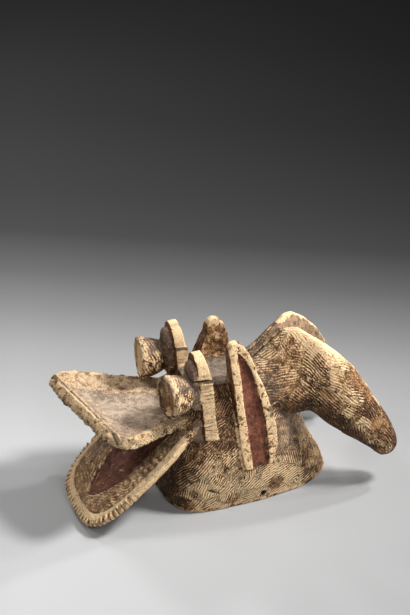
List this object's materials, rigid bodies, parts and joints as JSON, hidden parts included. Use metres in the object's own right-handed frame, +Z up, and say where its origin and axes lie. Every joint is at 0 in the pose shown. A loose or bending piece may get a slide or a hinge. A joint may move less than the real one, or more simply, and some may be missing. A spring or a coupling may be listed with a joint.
{
  "type": "horned animal helmet mask",
  "caption": "Carved wooden helmet mask of an animal with gaping jaws, stalked eyes, upright ears and drooping horns, painted with worn white clay.",
  "frame": {"origin": "middle of the underside of the mask's box, at the level of the helmet's rim", "axes": "+Z up, +Y back towards the horn tips, so the mask looks along -Y, and its left side is +X"},
  "size_m": [0.202, 0.4408, 0.2243],
  "materials": {
    "wood": "dark carved wood under worn cream clay paint, matte"
  },
  "bodies": {
    "root": {"carved_mask": "wood"}
  },
  "joints": []
}
